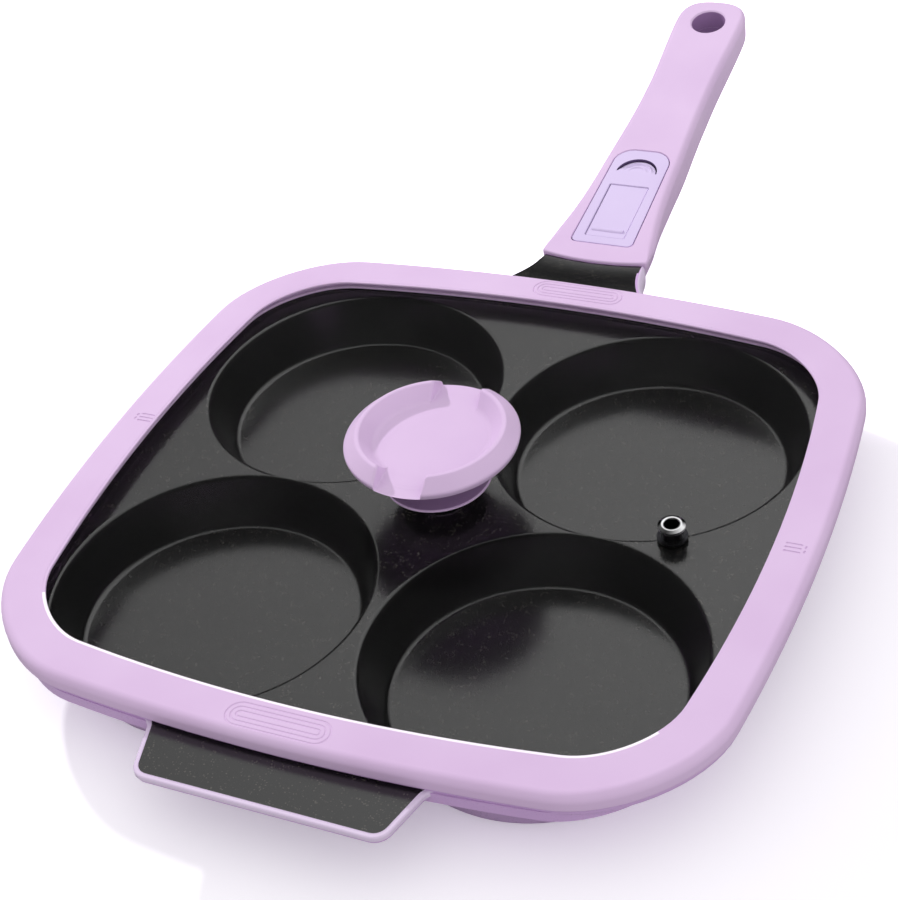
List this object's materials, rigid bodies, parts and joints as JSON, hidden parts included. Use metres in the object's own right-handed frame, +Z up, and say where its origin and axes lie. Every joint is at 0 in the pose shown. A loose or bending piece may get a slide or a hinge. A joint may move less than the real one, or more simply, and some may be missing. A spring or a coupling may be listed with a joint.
{
  "type": "egg pan",
  "caption": "Square non-stick egg pan with round cups, a glass lid in a soft rim with a dished knob, and a clamp-on handle with a latch lever.",
  "frame": {"origin": "on the stove, under the middle of the whole object's plan (helper lug's front edge to handle's end)", "axes": "+Y from the pan to the handle's end, +X to the right seen from the helper lug, +Z up"},
  "size_m": [0.28, 0.4894, 0.058],
  "materials": {
    "cast_nonstick": "satin speckled non-stick inside, lilac enamel outside",
    "steel": "brushed",
    "brass": "turned",
    "clear_glass": "clear toughened",
    "lilac_silicone": "matte silicone",
    "lilac_plastic": "satin soft-touch",
    "lavender_plastic": "satin"
  },
  "bodies": {
    "pan": {"pan_body": "cast_nonstick", "induction_disc_front_left": "steel", "induction_disc_front_right": "steel", "induction_disc_rear_left": "steel", "induction_disc_rear_right": "steel"},
    "lid": {"lid_glass": "clear_glass", "lid_rim": "lilac_silicone", "vent_eyelet": "steel", "vent_washer": "steel", "knob": "lilac_plastic", "knob_insert": "brass", "knob_screw": "steel", "knob_washer": "steel", "knob_gasket": "lilac_silicone"},
    "handle": {"handle_upper_shell": "lilac_plastic", "handle_lower_shell": "lilac_plastic", "handle_chassis": "steel", "lever_pivot_pin": "steel", "jaw_guide_left": "steel", "jaw_guide_right": "steel", "shell_screw_front": "steel", "shell_screw_rear": "steel", "chassis_screw_front": "steel", "chassis_screw_rear": "steel", "jaw_spring": "steel"},
    "lever": {"latch_lever": "lavender_plastic", "slider_spring": "steel"},
    "slider": {"release_slider": "lavender_plastic"},
    "jaw": {"clamp_jaw": "steel"}
  },
  "joints": [
    {"name": "lid_lift", "type": "slide", "parent": "pan", "child": "lid", "axis": [0, 0, 1], "range_m": [0, 0.06]},
    {"name": "handle_detach", "type": "slide", "parent": "pan", "child": "handle", "axis": [0, 1, 0], "range_m": [0, 0.045]},
    {"name": "lever_open", "type": "hinge", "parent": "handle", "child": "lever", "pos_m": [0, 0.07655, 0.0224], "axis": [1, 0, 0], "range_deg": [0, 60]},
    {"name": "slider_pull", "type": "slide", "parent": "lever", "child": "slider", "axis": [0, 0.9919, 0.1273], "range_m": [0, 0.004], "stiffness_N_per_m": 250, "springref_m": -0.002, "deforming": ["slider_spring"]},
    {"name": "jaw_lift", "type": "slide", "parent": "handle", "child": "jaw", "axis": [0, 0, 1], "range_m": [0, 0.0015], "deforming": ["jaw_spring"]}
  ],
  "couplings": [
    {"joint": "jaw_lift", "follows": "lever_open", "m_per_rad": 0.00143}
  ]
}
